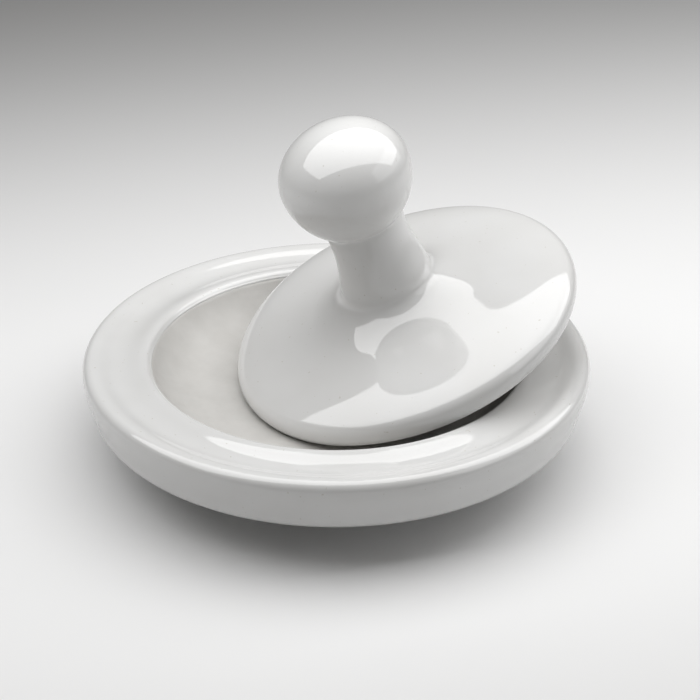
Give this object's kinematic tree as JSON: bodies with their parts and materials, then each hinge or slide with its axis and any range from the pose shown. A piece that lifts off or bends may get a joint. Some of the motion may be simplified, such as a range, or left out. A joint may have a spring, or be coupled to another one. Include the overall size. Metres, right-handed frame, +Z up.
{
  "type": "mortar and pestle crusher",
  "caption": "Shallow round porcelain mortar dish with a broad knob-handled pestle that rocks in its rounded well to crush tablets or dried herbs.",
  "frame": {"origin": "centre of the dish's foot ring, on the surface it stands on", "axes": "+Z up along the dish's own axis; the resting pestle leans in the XZ plane, its knob towards -X"},
  "size_m": [0.192, 0.192, 0.1278],
  "materials": {
    "dish_porcelain": "gloss",
    "pestle_porcelain": "gloss"
  },
  "bodies": {
    "dish": {"mortar_dish": "dish_porcelain"},
    "pestle": {"pestle": "pestle_porcelain"}
  },
  "joints": [
    {"name": "pestle_rock", "type": "hinge", "parent": "dish", "child": "pestle", "pos_m": [0, 0, 0.1162], "axis": [0, 1, 0], "range_deg": [-9, 51]}
  ]
}
